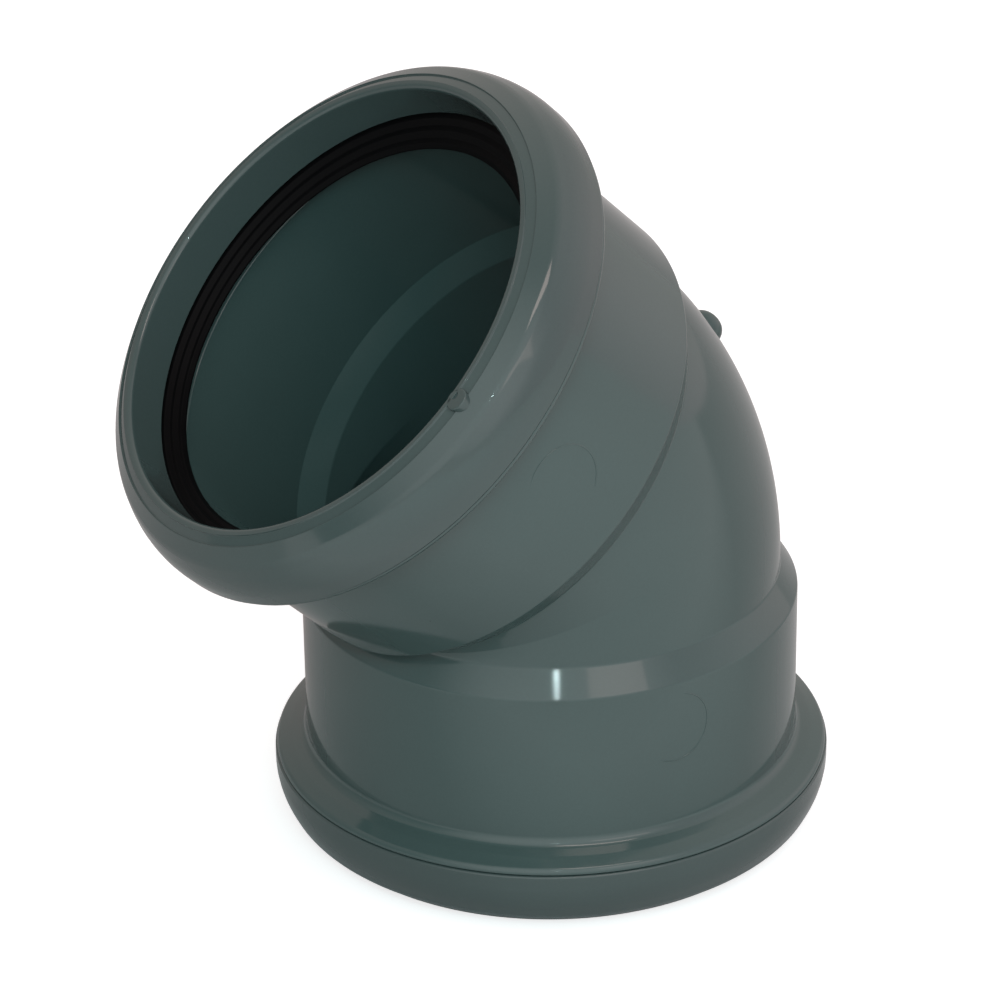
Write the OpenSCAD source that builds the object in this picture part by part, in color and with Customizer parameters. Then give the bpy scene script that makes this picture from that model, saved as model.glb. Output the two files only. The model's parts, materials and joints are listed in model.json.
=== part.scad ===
// Push-fit pipe bend with two sockets, each closed by a clip-on cap that holds a rubber lip seal.
// The lower mouth stands on z = 0 with its axis on Z. The upper end is the lower end's mirror image
// in the plane that halves the bend, so both ends come from the same profiles.

/* [Pipe and bend] */
// Outside diameter of the pipe that both sockets take, and of the bend itself
pipe_d = 110; // [108:0.5:111]
// Angle between the two socket axes
bend_angle = 45; // [40:1:45]
// Wall thickness of the bend
bend_wall = 3.5; // [3:0.1:4.5]

/* [Sockets] */
// How much wider than the pipe a socket is, on diameter
socket_gap = 0.4; // [0.3:0.1:0.8]
// Wall thickness of a socket
socket_wall = 4; // [3.5:0.1:4.5]
// Distance from where the axes meet to the edge that stops the pipe
stop_reach = 26.6; // [25:0.2:28]
// Length of the taper that joins a socket to the bend
stop_taper = 6.4; // [5:0.2:8]
// Radius of the shoulder between a socket and its taper
shoulder_round = 1.2; // [0.8:0.1:1.6]
// Distance from where the axes meet to the front face of a mouth
mouth_reach = 85.5; // [80:0.5:95]

/* [Flange and seal chamber] */
// Diameter of the flange that the cap closes against
flange_d = 133.2; // [132:0.2:133.6]
// Height of the flange's seam face above the mouth
seam_h = 16.9; // [16.5:0.1:18]
// Slope of the flange's back, from level
flange_slope = 22; // [15:1:30]
// Radius of the flange's rounded edge
flange_edge = 1.8; // [1:0.1:2]
// Radius of the hollow between the flange and the socket
flange_fillet = 3.5; // [2:0.1:4]
// Diameter of the spigot that the cap snaps over
spigot_d = 128.4; // [128:0.1:128.6]
// Height of the spigot's front end above the mouth
spigot_h = 10.4; // [10:0.1:10.8]
// Inside diameter of the chamber that the seal sits in
chamber_d = 123.2; // [122.6:0.1:123.6]
// Height of the chamber's floor above the mouth
chamber_floor = 17; // [16.6:0.1:17.2]
// Width of the lead-in chamfer between the chamber and the socket
lead_in = 2; // [1:0.1:2.4]

/* [Retaining caps] */
// Outside diameter of a cap
cap_d = 134; // [133.8:0.1:135]
// Wall thickness of a cap
cap_wall = 2.3; // [2.2:0.05:2.4]
// Radius of the rounding from the front lip to the outer wall
cap_round = 12; // [11:0.2:13]
// Inside diameter of the front lip
lip_d = 112.2; // [111.8:0.1:112.6]
// Radius of the lip's inner edge
lip_round = 1.3; // [1:0.1:1.6]
// Width of the flat land on the front lip
land_w = 0.6; // [0.5:0.1:0.8]
// Width of the shallow track round the land
track_w = 2.3; // [2:0.1:2.6]
// Depth of the track
track_h = 0.4; // [0.3:0.05:0.5]
// Depth of the inner sleeve, from the front face to the seal
sleeve_h = 11; // [10.5:0.1:11]
// How much narrower the sleeve is at its inner end, on diameter
sleeve_taper = 0.6; // [0:0.1:0.8]
// Gap between a cap and the flange at the seam
seam_gap = 0.3; // [0.2:0.05:0.5]
// How far the spigot's snap bead stands out
bead_h = 0.8; // [0.7:0.05:0.9]
// Length of the bead's crest
bead_w = 1; // [0.8:0.1:1.2]

/* [Seals] */
// Number of ribs on the lip that press on the pipe
rib_count = 3; // [2:1:4]
// Height of the ribs
rib_h = 0.45; // [0.3:0.05:0.6]
// Thickness of the lip
lip_t = 1.4; // [1:0.1:1.6]
// Gap left between the ribs and a seated pipe
rib_gap = 0.06; // [0.05:0.01:0.1]

/* [Moulding marks] */
// Diameter of the gate stub on the outside of the bend
stub_d = 9; // [6:0.5:9.5]
// How far the gate stub stands out
stub_h = 4.9; // [4:0.1:6]
// Place of the gate stub round the bend, from its lower end
stub_angle = 27.5; // [20:0.5:28]
// Diameter of the gate nub on a cap's lip
nub_d = 5.2; // [4:0.2:5.6]

/* [Hidden] */
$fn = 96;
pvc_grey = [0.34, 0.385, 0.38];
rubber_black = [0.06, 0.06, 0.065];

pipe_r = pipe_d / 2;
bend_bore_r = pipe_r - bend_wall;
socket_bore_r = pipe_r + socket_gap / 2;
socket_r = socket_bore_r + socket_wall;
flange_r = flange_d / 2;
spigot_r = spigot_d / 2;
chamber_r = chamber_d / 2;
cap_r = cap_d / 2;
lip_r = lip_d / 2;

// Heights above the lower mouth, and the bend's centreline radius, which makes it meet both axes smoothly
stop_h = mouth_reach - stop_reach;
bend_h = stop_h + stop_taper;
bend_r = (mouth_reach - bend_h) / tan(bend_angle / 2);

// How fast the tapers close in, outside and inside
taper_out = (socket_r - pipe_r) / stop_taper;
taper_in = (socket_bore_r - bend_bore_r) / stop_taper;

// Edges of the cap that are only broken, and the groove that the bead sits in with room all round
edge_break = 0.4;
groove_room = 0.4;
skirt_h = seam_h - seam_gap;
skirt_r = cap_r - cap_wall;
sleeve_r = lip_r + cap_wall;
track_r = lip_r + lip_round + land_w;
track_end = track_r + track_w;

// How far back the rounded front lies at the track's outer edge, and the draft of the track's walls
track_out = 1;
track_draft = 0.1;

// The snap bead's crest lies midway along what the cap's skirt covers of the spigot, with a ramp on each side
bead_mid = (spigot_h + skirt_h) / 2;
bead_ramp = 1;
spigot_chamfer = 1;

// The seal stands on the chamber's floor, just clear of the chamber's wall and of the cap's sleeve
seal_room = 0.1;
seal_end_room = 0.2;
seal_top = sleeve_h + seal_end_room;
seal_r = chamber_r - seal_room;
seal_chamfer = 0.5;
seal_root_w = 3.2;
seal_web = 2.2;
gullet_w = 0.4;
rib_r = pipe_r + rib_gap;

// Steps along fine, small and large rounded edges
fine_steps = 4;
small_steps = 8;
large_steps = 16;

// The bend's section has many flat sides, stops just short of the bend's own centre and laps into both ends
bend_sides = 49;
bend_core = 1;
lap = 1.5;
lap_angle = 1;

// The swept half of the bore laps a little way into the straight half, which is a hair narrower
heel_open = 92;
core_step = 0.1;

// Points along an arc, from one angle to another
function arc(x, y, r, from, to, steps) =
    [for (i = [0:steps]) let (a = from + (to - from) * i / steps) [x + r * cos(a), y + r * sin(a)]];

// Places a lower-end shape at the upper end
module upper_end() {
    translate([0, 0, mouth_reach])
        mirror([-sin(bend_angle / 2), 0, cos(bend_angle / 2)])
            translate([0, 0, -mouth_reach])
                children();
}

// A part of a round bar swept along the bend, out to an angle on both sides of the heel
module bend_sweep(r, open_angle) {
    translate([-bend_r, 0, bend_h])
        rotate([90, 0, 0])
            rotate_extrude(start = -lap_angle, angle = bend_angle + 2 * lap_angle)
                polygon(arc(bend_r, 0, r, -open_angle, open_angle, bend_sides));
}

// Outside of the bend. It is tighter than the pipe is thick, so its section is open towards the bend's
// centre, where the two ends meet in the throat.
module bend_outside() {
    bend_sweep(pipe_r, 180 - acos((bend_r - bend_core) / pipe_r));
}

// Straight core of one end, on the side towards the throat, up to the plane that halves the bend
module throat_core() {
    half_angle = bend_angle / 2;
    half_x = bend_r * (1 - cos(half_angle));
    top = mouth_reach + lap;
    intersection() {
        translate([0, 0, bend_h - lap]) cylinder(h = top - bend_h + lap, r = bend_bore_r - core_step);
        rotate([90, 0, 0])
            linear_extrude(height = pipe_d, center = true)
                polygon([
                    [0, 0],
                    [0, bend_h],
                    [-half_x, top - half_x * tan(half_angle)],
                    [-pipe_r, top - pipe_r * tan(half_angle)],
                    [-pipe_r, 0]
                ]);
    }
}

// Bore of the bend: swept round the heel, but with a mitred edge towards the throat, where the two cores meet
module bend_inside() {
    bend_sweep(bend_bore_r, heel_open);
    throat_core();
    upper_end() throat_core();
}

// Outside of one end: spigot with its bead, flange with its sloped back, socket and taper
module end_outside() {
    edge_x = flange_r - flange_edge;
    edge = arc(edge_x, seam_h, flange_edge, 0, 90 - flange_slope, small_steps);
    slope_start = edge[small_steps];
    slope_end = socket_r + flange_fillet * (1 - sin(flange_slope));
    slope_top = slope_start[1] + (slope_start[0] - slope_end) * tan(flange_slope);
    fillet_h = slope_top + flange_fillet * cos(flange_slope);
    taper_angle = atan(taper_out);
    shoulder_h = stop_h - shoulder_round * tan(taper_angle / 2);
    rotate_extrude()
        polygon(concat(
            [
                [0, spigot_h],
                [spigot_r - spigot_chamfer, spigot_h],
                [spigot_r, spigot_h + spigot_chamfer],
                [spigot_r, bead_mid - bead_w / 2 - bead_ramp],
                [spigot_r + bead_h, bead_mid - bead_w / 2],
                [spigot_r + bead_h, bead_mid + bead_w / 2],
                [spigot_r, bead_mid + bead_w / 2 + bead_ramp],
                [spigot_r, seam_h]
            ],
            edge,
            arc(socket_r + flange_fillet, fillet_h, flange_fillet, 270 - flange_slope, 180, small_steps),
            arc(socket_r - shoulder_round, shoulder_h, shoulder_round, 0, taper_angle, fine_steps),
            [[pipe_r - lap * taper_out, bend_h + lap], [0, bend_h + lap]]
        ));
}

// Inside of one end: seal chamber, lead-in chamfer, socket bore and the taper that stops the pipe
module end_inside() {
    rotate_extrude()
        polygon([
            [0, 0],
            [chamber_r, 0],
            [chamber_r, chamber_floor],
            [socket_bore_r + lead_in, chamber_floor],
            [socket_bore_r, chamber_floor + lead_in],
            [socket_bore_r, stop_h],
            [bend_bore_r - lap * taper_in, bend_h + lap],
            [0, bend_h + lap]
        ]);
}

// Broken-off gate on the outside of the bend
module gate_stub() {
    root = 0.8 * bend_wall;
    top_round = 2.2;
    top = root + stub_h;
    translate([-bend_r, 0, bend_h])
        rotate([0, -stub_angle, 0])
            translate([bend_r + pipe_r - root, 0, 0])
                rotate([0, 90, 0])
                    rotate_extrude()
                        polygon(concat(
                            [[0, 0], [stub_d / 2, 0]],
                            arc(stub_d / 2 - top_round, top - top_round, top_round, 0, 90, small_steps),
                            [[0, top]]
                        ));
}

module elbow_body() {
    color(pvc_grey)
        difference() {
            union() {
                end_outside();
                upper_end() end_outside();
                union() {
                    bend_outside();
                    gate_stub();
                }
            }
            end_inside();
            upper_end() end_inside();
            bend_inside();
        }
}

// Ring with a U section: front lip with a track, rounded outside, snap groove in the skirt, inner sleeve
module cap_ring() {
    round_x = cap_r - cap_round;
    round_h = track_out + sqrt(pow(cap_round, 2) - pow(track_end - round_x, 2));
    inner_round = cap_round - cap_wall;
    hollow_angle = -8;
    front_angle = -acos((track_end - round_x) / cap_round);
    sleeve_angle = -acos((sleeve_r - round_x) / inner_round);
    bead_reach = bead_w / 2 + bead_ramp + groove_room;
    groove_r = spigot_r + bead_h + groove_room;
    groove_ramp = groove_r - skirt_r;
    rotate_extrude()
        polygon(concat(
            arc(lip_r + lip_round, lip_round, lip_round, 180, 270, small_steps),
            [
                [track_r, 0],
                [track_r + track_draft, track_h],
                [track_end - track_draft, track_out + track_h]
            ],
            arc(round_x, round_h, cap_round, front_angle, 0, large_steps),
            [
                [cap_r, skirt_h - edge_break],
                [cap_r - edge_break, skirt_h],
                [skirt_r, skirt_h],
                [skirt_r, bead_mid + bead_reach],
                [groove_r, bead_mid + bead_reach - groove_ramp],
                [groove_r, bead_mid - bead_reach + groove_ramp]
            ],
            arc(round_x, round_h, inner_round, hollow_angle, sleeve_angle, large_steps),
            [
                [sleeve_r, sleeve_h],
                [lip_r - sleeve_taper / 2 + edge_break, sleeve_h],
                [lip_r - sleeve_taper / 2, sleeve_h - edge_break]
            ]
        ));
}

// Gate nub on the side of the lip, flush with the front face, with a dimple where it broke off
module gate_nub() {
    nub_x = lip_r + edge_break + nub_d / 2;
    dimple_d = 1.4;
    dimple_h = 0.4;
    dimple_shift = [-1.1, 0.4, 0];
    rotate([0, 0, -90])
        translate([nub_x, 0, 0])
            difference() {
                cylinder(h = cap_wall, d = nub_d);
                translate(dimple_shift) cylinder(h = dimple_h, d1 = dimple_d, d2 = dimple_d / 2);
            }
}

module retaining_cap() {
    color(pvc_grey)
        union() {
            cap_ring();
            gate_nub();
        }
}

// Lip seal with a V section, its ribbed lip lying as a seated pipe presses it
module seal_ring() {
    lip_end = chamber_floor - seal_end_room;
    lip_start = seal_top + seal_chamfer;
    rib_pitch = (lip_end - lip_start) / rib_count;
    lip_back = rib_r + rib_h + lip_t;
    crest = [0.35, 0.65] * rib_pitch;
    ribs = [
        for (i = [0:rib_count - 1])
            let (rib_start = lip_end - i * rib_pitch)
                each [
                    [rib_r + rib_h, rib_start],
                    [rib_r, rib_start - crest[0]],
                    [rib_r, rib_start - crest[1]]
                ]
    ];
    color(rubber_black)
        rotate_extrude()
            polygon(concat(
                [
                    [seal_r, chamber_floor],
                    [seal_r - seal_root_w, chamber_floor],
                    [lip_back + gullet_w, seal_top + seal_web],
                    [lip_back, seal_top + seal_web],
                    [lip_back - lip_t / 2, lip_end]
                ],
                ribs,
                [
                    [rib_r + rib_h, lip_start],
                    [rib_r + rib_h + seal_chamfer, seal_top],
                    [seal_r - seal_chamfer, seal_top],
                    [seal_r, seal_top + seal_chamfer]
                ]
            ));
}

module upper_retaining_cap() { upper_end() retaining_cap(); }
module lower_retaining_cap() { rotate([0, 0, 180]) retaining_cap(); }
module upper_seal_ring() { upper_end() seal_ring(); }
module lower_seal_ring() { seal_ring(); }

elbow_body();
upper_retaining_cap();
lower_retaining_cap();
upper_seal_ring();
lower_seal_ring();
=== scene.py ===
import json
import math

import bmesh
import bpy
from mathutils import Matrix, Vector


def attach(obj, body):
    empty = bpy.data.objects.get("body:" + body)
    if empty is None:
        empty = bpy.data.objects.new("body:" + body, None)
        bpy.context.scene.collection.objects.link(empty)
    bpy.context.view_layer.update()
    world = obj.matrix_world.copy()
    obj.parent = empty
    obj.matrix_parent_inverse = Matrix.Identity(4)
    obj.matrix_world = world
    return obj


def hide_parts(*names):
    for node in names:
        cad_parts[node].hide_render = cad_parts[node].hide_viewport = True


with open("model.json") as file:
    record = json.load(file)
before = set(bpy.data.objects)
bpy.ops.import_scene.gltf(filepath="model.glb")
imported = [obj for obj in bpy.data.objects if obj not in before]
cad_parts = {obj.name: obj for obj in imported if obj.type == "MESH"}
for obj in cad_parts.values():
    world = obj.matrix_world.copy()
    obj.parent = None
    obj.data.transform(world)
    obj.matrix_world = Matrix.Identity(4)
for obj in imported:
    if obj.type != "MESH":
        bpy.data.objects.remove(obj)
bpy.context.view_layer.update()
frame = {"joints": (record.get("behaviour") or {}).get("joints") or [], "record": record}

# Bend moulding: the body of the fitting, injection moulded in one shot of grey PVC-U.
# A tight bend joins two equal sockets. Each has a pipe stop inside, and ends in a flange and a spigot
# whose bead holds the retaining cap. The gate was snapped off and left a stub on the heel of the bend.
MM = 0.001
TURN_STEPS = 192

joints = {joint["name"]: joint for joint in frame["joints"]}
mounts = {mount["name"]: mount for mount in frame["record"]["mounts"]}
upper_axis = Vector(joints["upper_cap_turn"]["axis"])
bend_angle = upper_axis.angle(Vector((0, 0, 1)))
mouth_reach = -joints["upper_cap_turn"]["pos_m"][0] / math.sin(bend_angle) / MM

pipe_r = 55.0
bend_bore_r = 51.5
socket_bore_r = mounts["lower_socket"]["dims"]["r_mm"]
socket_r = 59.2
stop_h = 58.9
bend_h = 65.3
bend_r = (mouth_reach - bend_h) / math.tan(bend_angle / 2)
chamber_r = 61.6
chamber_floor = 17.0
lead_in = 2.0
spigot_r = 64.2
spigot_h = 10.4
spigot_bevel = 1.0
bead_h = 0.8
bead_mid = 13.5
bead_top = 0.5
bead_foot = 1.5
seam_h = 16.9
flange_r = 66.6
flange_edge_h = 18.1
flange_slope = math.radians(22)
flange_top = flange_edge_h + (flange_r - socket_r) * math.tan(flange_slope)
blend_h = 0.4
shoulder_h = stop_h - 0.2
slope_mid_r = 63.0
slope_bulge = 0.15
slope_mid_h = flange_edge_h + (flange_r - slope_mid_r) * math.tan(flange_slope) + slope_bulge
bore_edge = 0.45


def draw_section(bm, corners, closed=False):
    """A wire section through an axis. Each corner is (radius, height, rounding), in millimetres."""
    verts = [bm.verts.new((r * MM, 0, z * MM)) for r, z, rounding in corners]
    for pair in zip(verts, verts[1:]):
        bm.edges.new(pair)
    if closed:
        bm.edges.new((verts[-1], verts[0]))
    for vert, (r, z, rounding) in zip(verts, corners):
        if not rounding:
            continue
        before, after = [edge.other_vert(vert).co - vert.co for edge in vert.link_edges]
        between = before.angle(after)
        turn = math.degrees(math.pi - between)
        bmesh.ops.bevel(bm, geom=[vert], offset=rounding * MM / math.tan(between / 2), offset_type="OFFSET",
                        segments=max(3, round(turn / 6)), profile=0.5, affect="VERTICES", material=-1)


def spin_section(bm):
    """Turns the whole section once round the Z axis."""
    bmesh.ops.spin(bm, geom=bm.verts[:] + bm.edges[:], cent=(0, 0, 0), axis=(0, 0, 1),
                   angle=2 * math.pi, steps=TURN_STEPS, use_merge=True)


def everything(bm):
    return bm.verts[:] + bm.edges[:] + bm.faces[:]


def finish_piece(name, bm, material, body, node):
    """Closes the mesh, turns its faces outwards, and makes the piece that stands for a node of the frame."""
    bmesh.ops.remove_doubles(bm, verts=bm.verts, dist=0.002 * MM)
    bmesh.ops.dissolve_degenerate(bm, edges=bm.edges, dist=0.001 * MM)
    bmesh.ops.recalc_face_normals(bm, faces=bm.faces)
    mesh = bpy.data.meshes.new(name)
    bm.to_mesh(mesh)
    bm.free()
    mesh.shade_smooth()
    mesh.set_sharp_from_angle(angle=math.radians(45))
    mesh.materials.append(material)
    piece = bpy.data.objects.new(name, mesh)
    bpy.context.scene.collection.objects.link(piece)
    weighted = piece.modifiers.new("weighted_normals", "WEIGHTED_NORMAL")
    weighted.keep_sharp = True
    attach(piece, body)
    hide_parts(node)


body_mesh = bmesh.new()
draw_section(body_mesh, [
    (bend_bore_r, bend_h, 0),
    (bend_bore_r, bend_h - bore_edge, 1),
    (socket_bore_r, stop_h, 0.4),
    (socket_bore_r, chamber_floor + lead_in, 0.6),
    (socket_bore_r + lead_in, chamber_floor, 0.4),
    (chamber_r, chamber_floor, 0.5),
    (chamber_r, spigot_h, 0.3),
    (spigot_r - spigot_bevel, spigot_h, 0.2),
    (spigot_r, spigot_h + spigot_bevel, 0.2),
    (spigot_r, bead_mid - bead_foot, 0.2),
    (spigot_r + bead_h, bead_mid - bead_top, 0.3),
    (spigot_r + bead_h, bead_mid + bead_top, 0.3),
    (spigot_r, bead_mid + bead_foot, 0.2),
    (spigot_r, seam_h, 0),
    (flange_r, seam_h, 0.08),
    (flange_r, flange_edge_h, 1.5),
    (slope_mid_r, slope_mid_h, 8),
    (socket_r, flange_top, 2.5),
    (socket_r, shoulder_h, 1.2),
    (pipe_r, bend_h - blend_h, 1.2),
    (pipe_r, bend_h, 0),
])
spin_section(body_mesh)

half_point = Vector((0, 0, mouth_reach * MM))
half_normal = Vector((-math.sin(bend_angle / 2), 0, math.cos(bend_angle / 2)))
half_inward = Vector((math.cos(bend_angle / 2), 0, math.sin(bend_angle / 2)))
crease_w = 0.25
crease_h = 1.2
crease_fade = 5.0
crease_side = half_point - half_normal * crease_w * MM
bmesh.ops.bisect_plane(body_mesh, geom=everything(body_mesh), plane_co=crease_side, plane_no=half_normal,
                       dist=0.0005 * MM)
bmesh.ops.bisect_plane(body_mesh, geom=everything(body_mesh), plane_co=half_point, plane_no=half_normal,
                       dist=0.0005 * MM, clear_outer=True)


def meets_mirror(vert):
    return abs((vert.co - half_point).dot(half_normal)) < 0.001 * MM


for vert in body_mesh.verts:
    reach = math.hypot(vert.co.x, vert.co.y) / MM
    if meets_mirror(vert) and reach > pipe_r - 0.1:
        fade = min(max((-vert.co.x / MM - bend_r) / crease_fade, 0), 1)
        vert.co += half_inward * crease_h * MM * fade

open_edges = [
    edge for edge in body_mesh.edges
    if edge.is_boundary and all(abs(vert.co.z - bend_h * MM) < 0.001 * MM for vert in edge.verts)
]
open_verts = list({vert for edge in open_edges for vert in edge.verts})
bmesh.ops.spin(body_mesh, geom=open_verts + open_edges, cent=(-bend_r * MM, 0, bend_h * MM), axis=(0, -1, 0),
               angle=bend_angle / 2, steps=32)

mitre_blend = math.sin(math.radians(10))
outer_mitre = 0.45
for vert in body_mesh.verts:
    if vert.co.z / MM < bend_h + 0.001:
        continue
    outwards = math.hypot(vert.co.x / MM + bend_r, vert.co.z / MM - bend_h) - bend_r
    wall_r = math.hypot(outwards, vert.co.y / MM)
    mitred = min(max(-outwards / wall_r / mitre_blend, 0), 1)
    if wall_r > pipe_r - 0.1:
        mitred *= outer_mitre
    ends = meets_mirror(vert)
    pull = 1 + mitred * (wall_r * MM / math.hypot(vert.co.x, vert.co.y) - 1)
    vert.co.x *= pull
    vert.co.y *= pull
    if ends:
        vert.co.z = mouth_reach * MM + vert.co.x * math.tan(bend_angle / 2)

bmesh.ops.remove_doubles(body_mesh, verts=body_mesh.verts, dist=0.002 * MM)
half_space = Matrix.Translation(half_point) @ half_normal.to_track_quat("Z", "Y").to_matrix().to_4x4()
bmesh.ops.mirror(body_mesh, geom=everything(body_mesh), matrix=half_space.inverted(), axis="Z",
                 merge_dist=0.01 * MM)

stub_r = 4.7
stub_h = 4.4
stub_root = 1.5
stub_flare = 0.4
stub_foot = 0.5
pip_r = 0.5
pip_wall = 0.2
pip_deep = 0.2
pip_proud = 0.05
stub_lean = 0.1
stub_angle = math.radians(27.5)
stub_mesh = bmesh.new()
draw_section(stub_mesh, [
    (0, -stub_root, 0),
    (stub_r + stub_flare, -stub_root, 0),
    (stub_r, stub_foot, 0.8),
    (stub_r, stub_h, 3.9),
    (pip_r, stub_h + pip_proud, 0.2),
    (pip_r - pip_wall, stub_h - pip_deep, 0),
    (0, stub_h - pip_deep, 0),
])
bmesh.ops.spin(stub_mesh, geom=stub_mesh.verts[:] + stub_mesh.edges[:], cent=(0, 0, 0), axis=(0, 0, 1),
               angle=2 * math.pi, steps=64, use_merge=True)
for vert in stub_mesh.verts:
    if vert.co.z > 0:
        vert.co.z *= 1 - stub_lean * vert.co.x / (stub_r * MM)
heel = Vector((math.cos(stub_angle), 0, math.sin(stub_angle)))
heel_point = Vector((-bend_r, 0, bend_h)) * MM + heel * (bend_r + pipe_r) * MM
to_heel = Matrix.Translation(heel_point) @ heel.to_track_quat("Z", "Y").to_matrix().to_4x4()
bmesh.ops.transform(stub_mesh, matrix=to_heel, verts=stub_mesh.verts)


def absorb(bm, other):
    """Adds another mesh to this one."""
    part = bpy.data.meshes.new("part")
    other.to_mesh(part)
    other.free()
    bm.from_mesh(part)
    bpy.data.meshes.remove(part)


absorb(body_mesh, stub_mesh)

to_upper_end = (Matrix.Translation(half_point) @ Matrix.Scale(-1, 4, half_normal)
                @ Matrix.Translation(-half_point))
insert_r = 8.6
insert_line = 0.2
insert_sunk = 0.06
insert_shows = math.radians(86)
insert_fade = math.radians(20)
insert_places = {"lower": (-3.1, 47.3, math.radians(21)), "upper": (0.0, 38.5, math.radians(29))}
for end, (across, height, middle) in insert_places.items():
    ring_mesh = bmesh.new()
    bmesh.ops.create_circle(ring_mesh, segments=8, radius=insert_line * MM,
                            matrix=Matrix.Translation((insert_r * MM, 0, 0)))
    bmesh.ops.spin(ring_mesh, geom=ring_mesh.verts[:] + ring_mesh.edges[:], cent=(0, 0, 0), axis=(0, 1, 0),
                   angle=2 * math.pi, steps=96, use_merge=True)
    for vert in ring_mesh.verts:
        turned = math.remainder(math.atan2(-vert.co.z, vert.co.x) - middle, 2 * math.pi)
        hidden = min(max((abs(turned) - insert_shows) / insert_fade, 0), 1)
        vert.co += Vector((across, insert_sunk + hidden * insert_line, height)) * MM
        vert.co.y -= math.sqrt((socket_r * MM) ** 2 - vert.co.x ** 2)
    if end == "upper":
        bmesh.ops.transform(ring_mesh, matrix=to_upper_end, verts=ring_mesh.verts)
    absorb(body_mesh, ring_mesh)


def add_node(tree, kind, **values):
    """A node with its named properties and input sockets set."""
    node = tree.nodes.new(kind)
    for name, value in values.items():
        if hasattr(node, name):
            setattr(node, name, value)
        else:
            node.inputs[name.replace("_", " ")].default_value = value
    return node


def new_group(name, inputs, outputs):
    """An empty shader node group with its sockets, and its input and output nodes."""
    group = bpy.data.node_groups.new(name, "ShaderNodeTree")
    for socket, kind, value in inputs:
        group.interface.new_socket(socket, in_out="INPUT", socket_type=kind).default_value = value
    for socket, kind in outputs:
        group.interface.new_socket(socket, in_out="OUTPUT", socket_type=kind)
    return group, group.nodes.new("NodeGroupInput"), group.nodes.new("NodeGroupOutput")


def moulded_skin():
    """The skin of a moulded piece: slow flow marks, fine grain, a few specks, scuffs and soft waviness."""
    group, given, result = new_group(
        "moulded_skin",
        [("Colour", "NodeSocketColor", (0.5, 0.5, 0.5, 1)), ("Roughness", "NodeSocketFloat", 0.2)],
        [("Colour", "NodeSocketColor"), ("Roughness", "NodeSocketFloat"), ("Height", "NodeSocketFloat")],
    )
    link = group.links.new
    place = add_node(group, "ShaderNodeTexCoord").outputs["Object"]

    flow = add_node(group, "ShaderNodeTexNoise", Scale=16.0, Detail=3.0, Distortion=0.6)
    link(place, flow.inputs["Vector"])
    flow_shade = add_node(group, "ShaderNodeMapRange", From_Min=0.3, From_Max=0.7, To_Min=0.95, To_Max=1.05)
    link(flow.outputs["Fac"], flow_shade.inputs["Value"])

    grain = add_node(group, "ShaderNodeTexNoise", Scale=1400.0, Detail=2.0)
    link(place, grain.inputs["Vector"])
    grain_shade = add_node(group, "ShaderNodeMapRange", From_Min=0.3, From_Max=0.7, To_Min=0.98, To_Max=1.02)
    link(grain.outputs["Fac"], grain_shade.inputs["Value"])

    dots = add_node(group, "ShaderNodeTexVoronoi", Scale=70.0)
    link(place, dots.inputs["Vector"])
    dot_mask = add_node(group, "ShaderNodeMapRange", From_Min=0.012, From_Max=0.022, To_Min=1.0, To_Max=0.0)
    link(dots.outputs["Distance"], dot_mask.inputs["Value"])
    dot_kind = add_node(group, "ShaderNodeSeparateColor")
    link(dots.outputs["Color"], dot_kind.inputs["Color"])
    dot_chosen = add_node(group, "ShaderNodeMath", operation="GREATER_THAN")
    dot_chosen.inputs[1].default_value = 0.55
    link(dot_kind.outputs["Red"], dot_chosen.inputs[0])
    dot_seen = add_node(group, "ShaderNodeMath", operation="MULTIPLY")
    link(dot_mask.outputs["Result"], dot_seen.inputs[0])
    link(dot_chosen.outputs["Value"], dot_seen.inputs[1])
    dot_shade = add_node(group, "ShaderNodeMapRange", To_Min=0.35, To_Max=2.2)
    link(dot_kind.outputs["Green"], dot_shade.inputs["Value"])

    shade = add_node(group, "ShaderNodeMath", operation="MULTIPLY")
    link(flow_shade.outputs["Result"], shade.inputs[0])
    link(grain_shade.outputs["Result"], shade.inputs[1])
    skin = add_node(group, "ShaderNodeVectorMath", operation="SCALE")
    link(given.outputs["Colour"], skin.inputs[0])
    link(shade.outputs["Value"], skin.inputs["Scale"])
    dotted = add_node(group, "ShaderNodeVectorMath", operation="SCALE")
    link(skin.outputs["Vector"], dotted.inputs[0])
    link(dot_shade.outputs["Result"], dotted.inputs["Scale"])
    colour = add_node(group, "ShaderNodeMix", data_type="RGBA")
    link(dot_seen.outputs["Value"], colour.inputs[0])
    link(skin.outputs["Vector"], colour.inputs[6])
    link(dotted.outputs["Vector"], colour.inputs[7])
    link(colour.outputs[2], result.inputs["Colour"])

    handling = add_node(group, "ShaderNodeTexNoise", Scale=55.0, Detail=4.0, Roughness=0.6)
    link(place, handling.inputs["Vector"])
    rubbed = add_node(group, "ShaderNodeMapRange", From_Min=0.35, From_Max=0.75, To_Min=0.9, To_Max=1.35)
    link(handling.outputs["Fac"], rubbed.inputs["Value"])
    rough = add_node(group, "ShaderNodeMath", operation="MULTIPLY")
    link(given.outputs["Roughness"], rough.inputs[0])
    link(rubbed.outputs["Result"], rough.inputs[1])
    link(rough.outputs["Value"], result.inputs["Roughness"])

    wave = add_node(group, "ShaderNodeTexNoise", Scale=28.0, Detail=1.0)
    link(place, wave.inputs["Vector"])
    wave_height = add_node(group, "ShaderNodeMath", operation="MULTIPLY")
    wave_height.inputs[1].default_value = 0.03
    link(wave.outputs["Fac"], wave_height.inputs[0])
    link(wave_height.outputs["Value"], result.inputs["Height"])
    return group


skin_group = moulded_skin()


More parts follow.
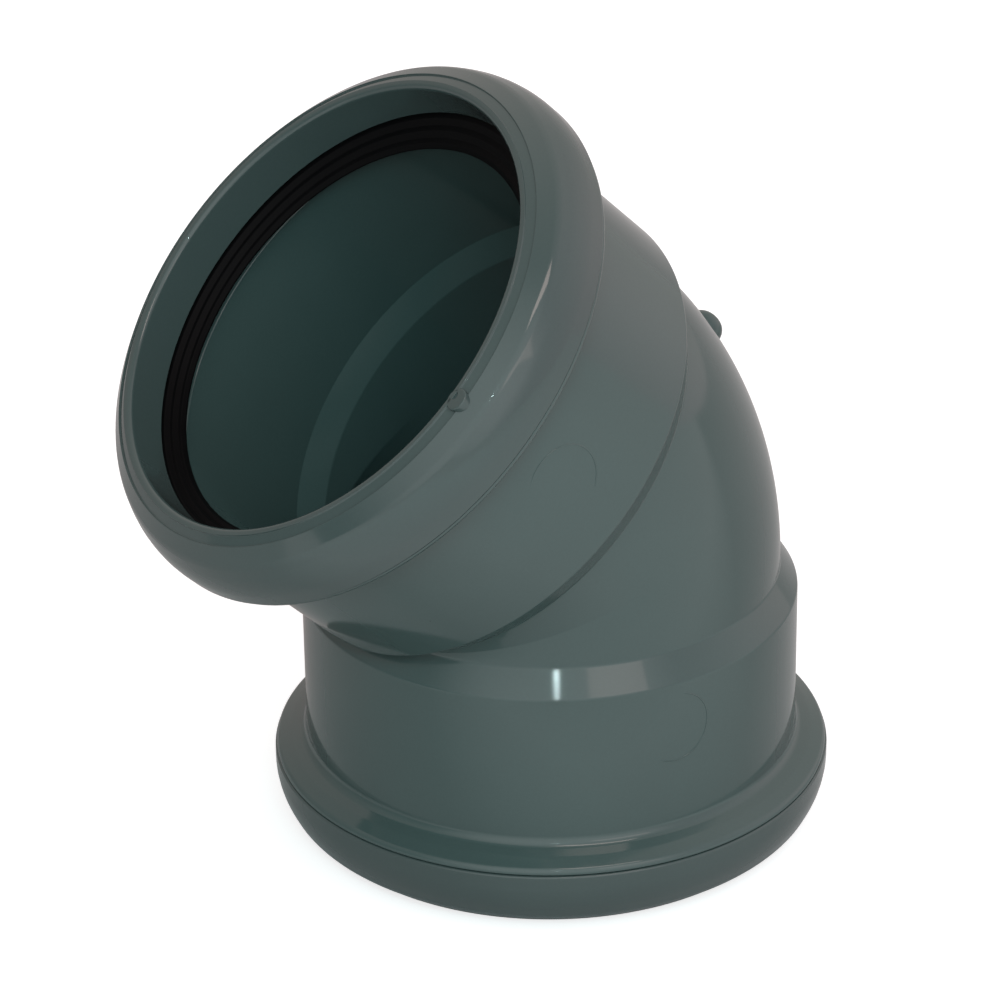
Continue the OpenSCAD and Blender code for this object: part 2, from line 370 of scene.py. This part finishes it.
def moulded_pvc(name, colour, roughness):
    """Semi-gloss moulded PVC-U."""
    material = bpy.data.materials.new(name)
    material.use_nodes = True
    tree = material.node_tree
    tree.nodes.clear()
    output = add_node(tree, "ShaderNodeOutputMaterial")
    shader = add_node(tree, "ShaderNodeBsdfPrincipled", IOR=1.53)
    skin = add_node(tree, "ShaderNodeGroup", node_tree=skin_group)
    skin.inputs["Colour"].default_value = (*colour, 1)
    skin.inputs["Roughness"].default_value = roughness
    bump = add_node(tree, "ShaderNodeBump", Strength=1.0, Distance=MM)
    tree.links.new(skin.outputs["Colour"], shader.inputs["Base Color"])
    tree.links.new(skin.outputs["Roughness"], shader.inputs["Roughness"])
    tree.links.new(skin.outputs["Height"], bump.inputs["Height"])
    tree.links.new(bump.outputs["Normal"], shader.inputs["Normal"])
    tree.links.new(shader.outputs["BSDF"], output.inputs["Surface"])
    return material


pvc_roughness = 0.085
body_grey = (0.054, 0.0875, 0.084)
body_pvc = moulded_pvc("body_pvc", body_grey, pvc_roughness)
finish_piece("bend_moulding", body_mesh, body_pvc, "elbow", "elbow_body")

# Lip seals: one moulded black rubber ring in each socket's chamber, held down by the cap's sleeve.
# The ring is a V in section. Its ribbed lip slants inwards and bends aside to grip the pipe, and here
# it is relaxed, a little off centre as it came out of its bag.
seal_r = 61.4
seal_front = 11.2
seal_root_w = 3.2
seal_gap = 0.05
waist_r = 57.3
waist_h = 14.0
lip_root_r = 56.4
lip_root_edge = 0.6
lip_edge_r = 49.8
lip_edge_h = 15.0
lip_t = 1.2
rib_count = 3
rib_proud = 0.45


def rubber(name):
    """Smooth black rubber with a faint dusty bloom."""
    material = bpy.data.materials.new(name)
    material.use_nodes = True
    tree = material.node_tree
    tree.nodes.clear()
    output = add_node(tree, "ShaderNodeOutputMaterial")
    shader = add_node(tree, "ShaderNodeBsdfPrincipled", IOR=1.5, Specular_IOR_Level=0.06)
    place = add_node(tree, "ShaderNodeTexCoord").outputs["Object"]
    bloom = add_node(tree, "ShaderNodeTexNoise", Scale=120.0, Detail=4.0)
    tree.links.new(place, bloom.inputs["Vector"])
    shade = add_node(tree, "ShaderNodeMix", data_type="RGBA")
    shade.inputs[6].default_value = (0.0015, 0.0015, 0.0017, 1)
    shade.inputs[7].default_value = (0.0032, 0.0032, 0.0035, 1)
    tree.links.new(bloom.outputs["Fac"], shade.inputs[0])
    tree.links.new(shade.outputs[2], shader.inputs["Base Color"])
    rough = add_node(tree, "ShaderNodeMapRange", To_Min=0.4, To_Max=0.55)
    tree.links.new(bloom.outputs["Fac"], rough.inputs["Value"])
    tree.links.new(rough.outputs["Result"], shader.inputs["Roughness"])
    tree.links.new(shader.outputs["BSDF"], output.inputs["Surface"])
    return material


seal_rubber = rubber("seal_rubber")
lip_root = Vector((lip_root_r, seal_front))
lip_edge = Vector((lip_edge_r, lip_edge_h))
lip_along = (lip_edge - lip_root) / rib_count
lip_out = Vector((lip_along.y, -lip_along.x)).normalized() * -rib_proud
lip_shift = {"upper": Vector((-1.76, 1.48, 0)), "lower": Vector((0.5, 0.4, 0))}

for end in ("upper", "lower"):
    seal_mesh = bmesh.new()
    ribs = []
    for count in range(rib_count):
        foot = lip_root + lip_along * (count + 0.1)
        crest = lip_root + lip_along * (count + 0.5) + lip_out
        ribs += [(foot.x, foot.y, 0.25), (crest.x, crest.y, 0.35)]
    draw_section(seal_mesh, [
        (seal_r, chamber_floor - seal_gap, 0.4),
        (seal_r - seal_root_w, chamber_floor - seal_gap, 0.4),
        (waist_r, waist_h, 0.6),
        (lip_edge_r + lip_t, lip_edge_h + 1.0, 0.5),
        (lip_edge_r - 0.1, lip_edge_h + 0.3, 0.4),
        *reversed(ribs),
        (lip_root_r + lip_root_edge, seal_front, 0.3),
        (seal_r, seal_front, 0.5),
    ], closed=True)
    spin_section(seal_mesh)
    for vert in seal_mesh.verts:
        reach = math.hypot(vert.co.x, vert.co.y) / MM
        slack = min(max((lip_root.x - reach) / (lip_root.x - lip_edge_r), 0), 1)
        vert.co += lip_shift[end] * MM * slack
    if end == "upper":
        bmesh.ops.transform(seal_mesh, matrix=to_upper_end, verts=seal_mesh.verts)
    finish_piece(end + "_lip_seal", seal_mesh, seal_rubber, "elbow", end + "_seal_ring")

# Retaining caps: one moulded PVC-U ring snapped over each spigot, closing the seal's chamber.
# The ring is a U in section: a rounded outer wall with a groove for the bead, a narrow land and a track on
# the front lip, and a sleeve down to the seal. Each turns on its spigot. A gate left a nub on the lip.
cap_r = 67.0
cap_wall = 2.3
cap_round = 12.0
lip_r = 56.1
lip_round = 1.3
land_r = 58.0
track_r = 60.3
track_h = 0.4
track_out = 1.0
track_draft = 0.1
sleeve_h = 11.0
sleeve_in = 0.3
skirt_h = {"upper": 16.72, "lower": 16.6}
groove_r = 65.4
groove_floor = 1.2
groove_mouth = 1.9
round_h = track_out + math.sqrt(cap_round ** 2 - (track_r - cap_r + cap_round) ** 2)
ridge_angle = math.radians(40)
ridge = (cap_r - cap_round * (1 - math.cos(ridge_angle)), round_h - cap_round * math.sin(ridge_angle))
outer_slope = math.radians(64)
outer_h = ridge[1] + (cap_r - ridge[0]) * math.tan(outer_slope)
hollow_from = math.radians(8)
hollow_to = math.acos((lip_r + cap_wall - cap_r + cap_round) / (cap_round - cap_wall))
hollow_mid = (hollow_from + hollow_to) / 2
hollow_reach = (cap_round - cap_wall) / math.cos((hollow_to - hollow_from) / 2)
hollow_start = (cap_r - cap_round + (cap_round - cap_wall) * math.cos(hollow_from),
                round_h - (cap_round - cap_wall) * math.sin(hollow_from))
hollow_corner = (cap_r - cap_round + hollow_reach * math.cos(hollow_mid),
                 round_h - hollow_reach * math.sin(hollow_mid))
hollow_end = (lip_r + cap_wall, round_h - (cap_round - cap_wall) * math.sin(hollow_to))

nub_r = 2.6
nub_edge = 0.4
nub_rim = 0.4
dimple_r = 0.7
dimple_h = 0.4
dimple_slope = 0.3
dimple_shift = Vector((0.4, 1.1, 0))

cap_grey = (0.054, 0.0795, 0.077)
cap_pvc = moulded_pvc("cap_pvc", cap_grey, pvc_roughness)

for end in ("upper", "lower"):
    cap_mesh = bmesh.new()
    draw_section(cap_mesh, [
        (lip_r, 0, lip_round),
        (land_r, 0, 0.1),
        (land_r + track_draft, track_h, 0.15),
        (track_r - track_draft, track_out + track_h, 0.15),
        (track_r, track_out, 0.15),
        (*ridge, 4.5),
        (cap_r, outer_h, 14),
        (cap_r, skirt_h[end], 0.5),
        (cap_r - cap_wall, skirt_h[end], 0.2),
        (cap_r - cap_wall, bead_mid + groove_mouth, 0.2),
        (groove_r, bead_mid + groove_floor, 0.2),
        (groove_r, bead_mid - groove_floor, 0.2),
        (*hollow_start, 0),
        (*hollow_corner, (cap_round - cap_wall) * 0.995),
        (*hollow_end, 0),
        (lip_r + cap_wall, sleeve_h, 0.3),
        (lip_r - sleeve_in, sleeve_h, 0.4),
    ], closed=True)
    spin_section(cap_mesh)
    nub_mesh = bmesh.new()
    draw_section(nub_mesh, [
        (0, cap_wall, 0),
        (nub_r, cap_wall, 0),
        (nub_r, 0, 0.35),
        (dimple_r + dimple_slope, 0, 0.15),
        (dimple_r, dimple_h, 0.1),
        (0, dimple_h, 0),
    ])
    bmesh.ops.spin(nub_mesh, geom=nub_mesh.verts[:] + nub_mesh.edges[:], cent=(0, 0, 0), axis=(0, 0, 1),
                   angle=2 * math.pi, steps=48, use_merge=True)
    for vert in nub_mesh.verts:
        reach = math.hypot(vert.co.x, vert.co.y) / MM
        loose = (nub_r - nub_rim - reach) / (nub_r - nub_rim - dimple_r - dimple_slope)
        vert.co += dimple_shift * MM * min(max(loose, 0), 1)
    nub_place = Matrix.Translation(Vector((0, -(lip_r + nub_edge + nub_r), 0)) * MM)
    if end == "lower":
        nub_place = Matrix.Rotation(math.pi, 4, "Z") @ nub_place
    bmesh.ops.transform(nub_mesh, matrix=nub_place, verts=nub_mesh.verts)
    absorb(cap_mesh, nub_mesh)
    if end == "upper":
        bmesh.ops.transform(cap_mesh, matrix=to_upper_end, verts=cap_mesh.verts)
    finish_piece(end + "_cap_ring", cap_mesh, cap_pvc, end + "_cap", end + "_retaining_cap")

# Floor: a plain white sheet that the fitting stands on, larger than any view of it.
# It looks white to the camera. In the fitting's reflections it shows a painted glow, a painted reflection of
# light
# on the sheet: pale in front, darker at the sides and behind as painted shade, and none where the lower mouth
# covers it.
floor_size = 12.0
floor_grey = (0.6, 0.6, 0.6, 1)
camera_glow = 0.72
front_azimuth = math.radians(-12)
painted_front_reflection = 0.42
front_start = 0.06
front_full = 0.13
painted_far_reflection = 0.06
far_start = 0.15
far_full = 0.4

floor_mesh = bmesh.new()
bmesh.ops.create_grid(floor_mesh, x_segments=1, y_segments=1, size=floor_size / 2)
floor_data = bpy.data.meshes.new("floor")
floor_mesh.to_mesh(floor_data)
floor_mesh.free()
floor = bpy.data.objects.new("floor", floor_data)
bpy.context.scene.collection.objects.link(floor)
floor_paint = bpy.data.materials.new("floor_paint")
floor_paint.use_nodes = True
floor_tree = floor_paint.node_tree
floor_tree.nodes.clear()
floor_output = add_node(floor_tree, "ShaderNodeOutputMaterial")
floor_sheet = add_node(floor_tree, "ShaderNodeBsdfDiffuse", Color=floor_grey)
floor_glow = add_node(floor_tree, "ShaderNodeEmission", Color=(1, 1, 1, 1))
floor_both = add_node(floor_tree, "ShaderNodeAddShader")
looked_at = add_node(floor_tree, "ShaderNodeLightPath")
floor_place = add_node(floor_tree, "ShaderNodeTexCoord").outputs["Object"]
# Painted reflection: glossy and transmission rays see the sheet glow, pale in front of the fitting and faint
# further off, in place of light falling on it; near the fitting, at its sides and behind it the glow fades
# out as painted shade.
in_front = add_node(floor_tree, "ShaderNodeVectorMath", operation="DOT_PRODUCT")
in_front.inputs[1].default_value = (math.sin(front_azimuth), -math.cos(front_azimuth), 0)
front_ramp = add_node(floor_tree, "ShaderNodeMapRange", From_Min=front_start, From_Max=front_full,
                      To_Max=painted_front_reflection)
far_ramp = add_node(floor_tree, "ShaderNodeMapRange", From_Min=far_start, From_Max=far_full, To_Max=painted_far_reflection)
mirror_ramp = add_node(floor_tree, "ShaderNodeMath", operation="MAXIMUM")
mirrored = add_node(floor_tree, "ShaderNodeMath", operation="MAXIMUM")
painted_reflection_level = add_node(floor_tree, "ShaderNodeMath", operation="MULTIPLY")
both_levels = add_node(floor_tree, "ShaderNodeMath", operation="MULTIPLY_ADD")
both_levels.inputs[1].default_value = camera_glow
# Painted shade: the sheet gets no glow within the lower mouth's reach, where the mouth's shade falls on it.
floor_reach = add_node(floor_tree, "ShaderNodeVectorMath", operation="LENGTH")
clear_of_mouth_shade = add_node(floor_tree, "ShaderNodeMath", operation="GREATER_THAN")
clear_of_mouth_shade.inputs[1].default_value = lip_r * MM
glow = add_node(floor_tree, "ShaderNodeMath", operation="MULTIPLY")
floor_tree.links.new(floor_place, in_front.inputs[0])
floor_tree.links.new(in_front.outputs["Value"], front_ramp.inputs["Value"])
floor_tree.links.new(floor_reach.outputs["Value"], far_ramp.inputs["Value"])
floor_tree.links.new(front_ramp.outputs["Result"], mirror_ramp.inputs[0])
floor_tree.links.new(far_ramp.outputs["Result"], mirror_ramp.inputs[1])
floor_tree.links.new(looked_at.outputs["Is Glossy Ray"], mirrored.inputs[0])
floor_tree.links.new(looked_at.outputs["Is Transmission Ray"], mirrored.inputs[1])
floor_tree.links.new(mirrored.outputs["Value"], painted_reflection_level.inputs[0])
floor_tree.links.new(mirror_ramp.outputs["Value"], painted_reflection_level.inputs[1])
floor_tree.links.new(looked_at.outputs["Is Camera Ray"], both_levels.inputs[0])
floor_tree.links.new(painted_reflection_level.outputs["Value"], both_levels.inputs[2])
floor_tree.links.new(floor_place, floor_reach.inputs[0])
floor_tree.links.new(floor_reach.outputs["Value"], clear_of_mouth_shade.inputs[0])
floor_tree.links.new(both_levels.outputs["Value"], glow.inputs[0])
floor_tree.links.new(clear_of_mouth_shade.outputs["Value"], glow.inputs[1])
floor_tree.links.new(glow.outputs["Value"], floor_glow.inputs["Strength"])
floor_tree.links.new(floor_sheet.outputs["BSDF"], floor_both.inputs[0])
floor_tree.links.new(floor_glow.outputs["Emission"], floor_both.inputs[1])
floor_tree.links.new(floor_both.outputs["Shader"], floor_output.inputs["Surface"])
floor_data.materials.append(floor_paint)

# Light: dim even surroundings with four broad pale walls, behind the camera, on its right, behind the fitting
# and high on the left, a small flash and a soft fill just above the camera, and two soft panels on the right.
view_azimuth = math.radians(-31.481)
view_elevation = math.radians(26.879)
view_roll = math.radians(0.819)
aim = Vector((-8.76, 7.85, 78.99)) * MM
even_light = (0.21, 0.21, 0.21)


def direction(azimuth, elevation):
    """A unit vector from the fitting towards a place round it, measured like the camera's own angles."""
    return Vector((math.sin(azimuth) * math.cos(elevation), -math.cos(azimuth) * math.cos(elevation),
                   math.sin(elevation)))


surround = bpy.data.worlds.new("surround")
surround.use_nodes = True
sky_tree = surround.node_tree
sky_place = add_node(sky_tree, "ShaderNodeTexCoord").outputs["Generated"]


def add_wall(light_so_far, towards, edge, colour):
    """Adds a broad soft patch of light to the surroundings, full in its middle and none beyond its edge."""
    facing = add_node(sky_tree, "ShaderNodeVectorMath", operation="DOT_PRODUCT")
    facing.inputs[1].default_value = towards
    level = add_node(sky_tree, "ShaderNodeMapRange", From_Min=edge, From_Max=1.0)
    level.interpolation_type = "SMOOTHSTEP"
    patch = add_node(sky_tree, "ShaderNodeVectorMath", operation="SCALE")
    patch.inputs[0].default_value = colour
    total = add_node(sky_tree, "ShaderNodeVectorMath", operation="ADD")
    sky_tree.links.new(sky_place, facing.inputs[0])
    sky_tree.links.new(facing.outputs["Value"], level.inputs["Value"])
    sky_tree.links.new(level.outputs["Result"], patch.inputs["Scale"])
    sky_tree.links.new(patch.outputs["Vector"], total.inputs[0])
    if light_so_far is None:
        total.inputs[1].default_value = even_light
    else:
        sky_tree.links.new(light_so_far, total.inputs[1])
    return total.outputs["Vector"]


walls = {
    "behind_camera": (0, math.degrees(view_elevation), 0.55, (1.14, 1.12, 1.12)),
    "right": (80, 15, 0.3, (0.60, 0.44, 0.47)),
    "behind_fitting": (150, 20, 0.2, (0.38, 0.34, 0.32)),
    "high_left": (-130, 55, 0.3, (0.30, 0.23, 0.21)),
}
sky_light = None
for turn, elevation, edge, colour in walls.values():
    towards = direction(view_azimuth + math.radians(turn), math.radians(elevation))
    sky_light = add_wall(sky_light, towards, edge, colour)
sky_tree.links.new(sky_light, sky_tree.nodes["Background"].inputs["Color"])
bpy.context.scene.world = surround


def add_lamp(name, towards, distance, size, energy, colour):
    """A flat rectangular lamp that faces the fitting, with its width and height in metres."""
    data = bpy.data.lights.new(name, "AREA")
    data.color = colour
    data.shape = "RECTANGLE"
    data.size, data.size_y = size
    data.energy = energy
    lamp = bpy.data.objects.new(name, data)
    lamp.location = aim + towards * distance
    lamp.rotation_euler = towards.to_track_quat("Z", "Y").to_euler()
    bpy.context.scene.collection.objects.link(lamp)
    return lamp


lamp_distance = 0.976
panel_distance = 1.2
panel_colour = (1, 0.8, 0.74)
above_camera = direction(view_azimuth + math.radians(3.0), math.radians(36.3))
low_right = direction(view_azimuth + math.radians(32), math.radians(33))
high_right = direction(view_azimuth + math.radians(31), math.radians(65))
add_lamp("flash", above_camera, lamp_distance, (0.007, 0.007), energy=0.1, colour=(0.75, 1, 1))
fill = add_lamp("fill", above_camera, lamp_distance, (0.3, 0.3), energy=1.9, colour=(0.34, 0.94, 1))
fill.visible_glossy = False
add_lamp("low_panel", low_right, panel_distance, (0.48, 0.2), energy=0.3, colour=panel_colour)
add_lamp("high_panel", high_right, panel_distance, (0.5, 0.2), energy=1.2, colour=panel_colour)

# Camera: a long lens about a metre away, at the photograph's own angle and distance.
# It is turned a little about its line of sight, as the photograph is.
view_distance = 1.0217
photo_width = 1000
focal_pixels = 4303.6
sensor_width = 36.0

camera_data = bpy.data.cameras.new("camera")
camera_data.sensor_width = sensor_width
camera_data.lens = focal_pixels * sensor_width / photo_width
camera = bpy.data.objects.new("camera", camera_data)
back = direction(view_azimuth, view_elevation)
level_right = Vector((math.cos(view_azimuth), math.sin(view_azimuth), 0))
level_up = back.cross(level_right)
right = level_right * math.cos(view_roll) - level_up * math.sin(view_roll)
up = level_right * math.sin(view_roll) + level_up * math.cos(view_roll)
camera.matrix_world = (Matrix.Translation(aim + back * view_distance)
                       @ Matrix((right, up, back)).transposed().to_4x4())
bpy.context.scene.collection.objects.link(camera)
bpy.context.scene.camera = camera
bpy.context.scene.view_settings.view_transform = "Standard"
